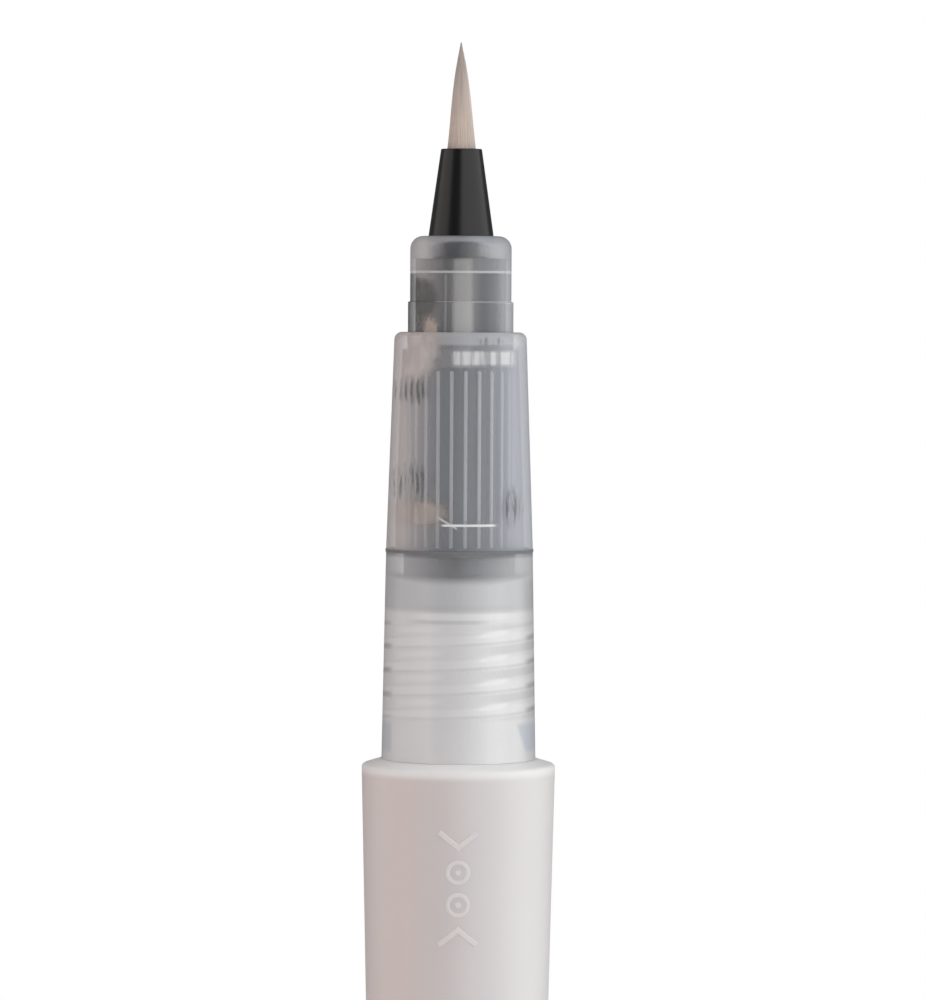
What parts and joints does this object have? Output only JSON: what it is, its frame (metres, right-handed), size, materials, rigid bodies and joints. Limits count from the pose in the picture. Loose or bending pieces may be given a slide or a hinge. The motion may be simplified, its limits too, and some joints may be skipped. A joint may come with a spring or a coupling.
{
  "type": "brush pen",
  "caption": "Squeeze-barrel brush pen with a fine nylon tuft, black nozzle, frosted ribbed section and tapered barrel, posted on its cap.",
  "frame": {"origin": "centre of the cap's flat closed end, which is the lowest face of the pen as it stands posted on its cap", "axes": "+Z along the pen's axis from the cap to the brush tip; -Y is the front, the side with the squeeze marks; +X is to the right of the front"},
  "size_m": [0.013, 0.013, 0.1738],
  "materials": {
    "barrel_plastic": "satin white polyethylene",
    "cap_plastic": "frosted translucent polypropylene",
    "crown_plastic": "satin white polypropylene",
    "liner_plastic": "natural white polyethylene",
    "clear_plastic": "frosted clear polypropylene",
    "rib_plastic": "smoky clear polypropylene",
    "dark_plastic": "matt dark grey plastic",
    "black_plastic": "satin black plastic",
    "seal_rubber": "matt black rubber",
    "silicone": "translucent silicone",
    "steel": "polished steel",
    "wick_fibre": "bonded polyester fibre",
    "foam": "open-cell foam",
    "bristle": "pale beige nylon filament"
  },
  "bodies": {
    "cap": {"cap_shell": "cap_plastic", "cap_crown": "crown_plastic", "cap_liner": "liner_plastic"},
    "barrel": {"barrel": "barrel_plastic", "tail_plug": "barrel_plastic", "neck_plug": "liner_plastic", "duckbill_valve": "silicone", "valve_retainer": "liner_plastic"},
    "ball": {"mixing_ball": "steel"},
    "seal": {"neck_seal": "silicone"},
    "front": {"collar": "clear_plastic", "seam_gasket": "seal_rubber", "grip_sleeve": "clear_plastic", "ink_collector": "rib_plastic", "feed_core": "dark_plastic", "nose_ring": "clear_plastic", "nozzle": "black_plastic", "nozzle_seal": "seal_rubber", "tuft_heel": "bristle", "feed_wick": "wick_fibre", "flow_sponge": "foam"},
    "tuft": {"brush_tuft": "bristle"}
  },
  "joints": [
    {"name": "pen_pull", "type": "slide", "parent": "cap", "child": "barrel", "axis": [0, 0, 1], "range_m": [0, 0.04]},
    {"name": "ball_shake", "type": "slide", "parent": "barrel", "child": "ball", "axis": [0, 0, 1], "range_m": [0, 0.092]},
    {"name": "section_rise", "type": "slide", "parent": "barrel", "child": "seal", "axis": [0, 0, 1], "range_m": [0, 0.008]},
    {"name": "section_turn", "type": "hinge", "parent": "seal", "child": "front", "pos_m": [0, 0, 0.126], "axis": [0, 0, 1], "range_deg": [0, 1805]},
    {"name": "tuft_bend", "type": "hinge", "parent": "front", "child": "tuft", "pos_m": [0, 0, 0.167], "axis": [0, 1, 0], "range_deg": [-30, 30], "stiffness_Nm_per_rad": 0.0007}
  ],
  "couplings": [
    {"joint": "section_turn", "follows": "section_rise", "rad_per_m": 3927}
  ]
}
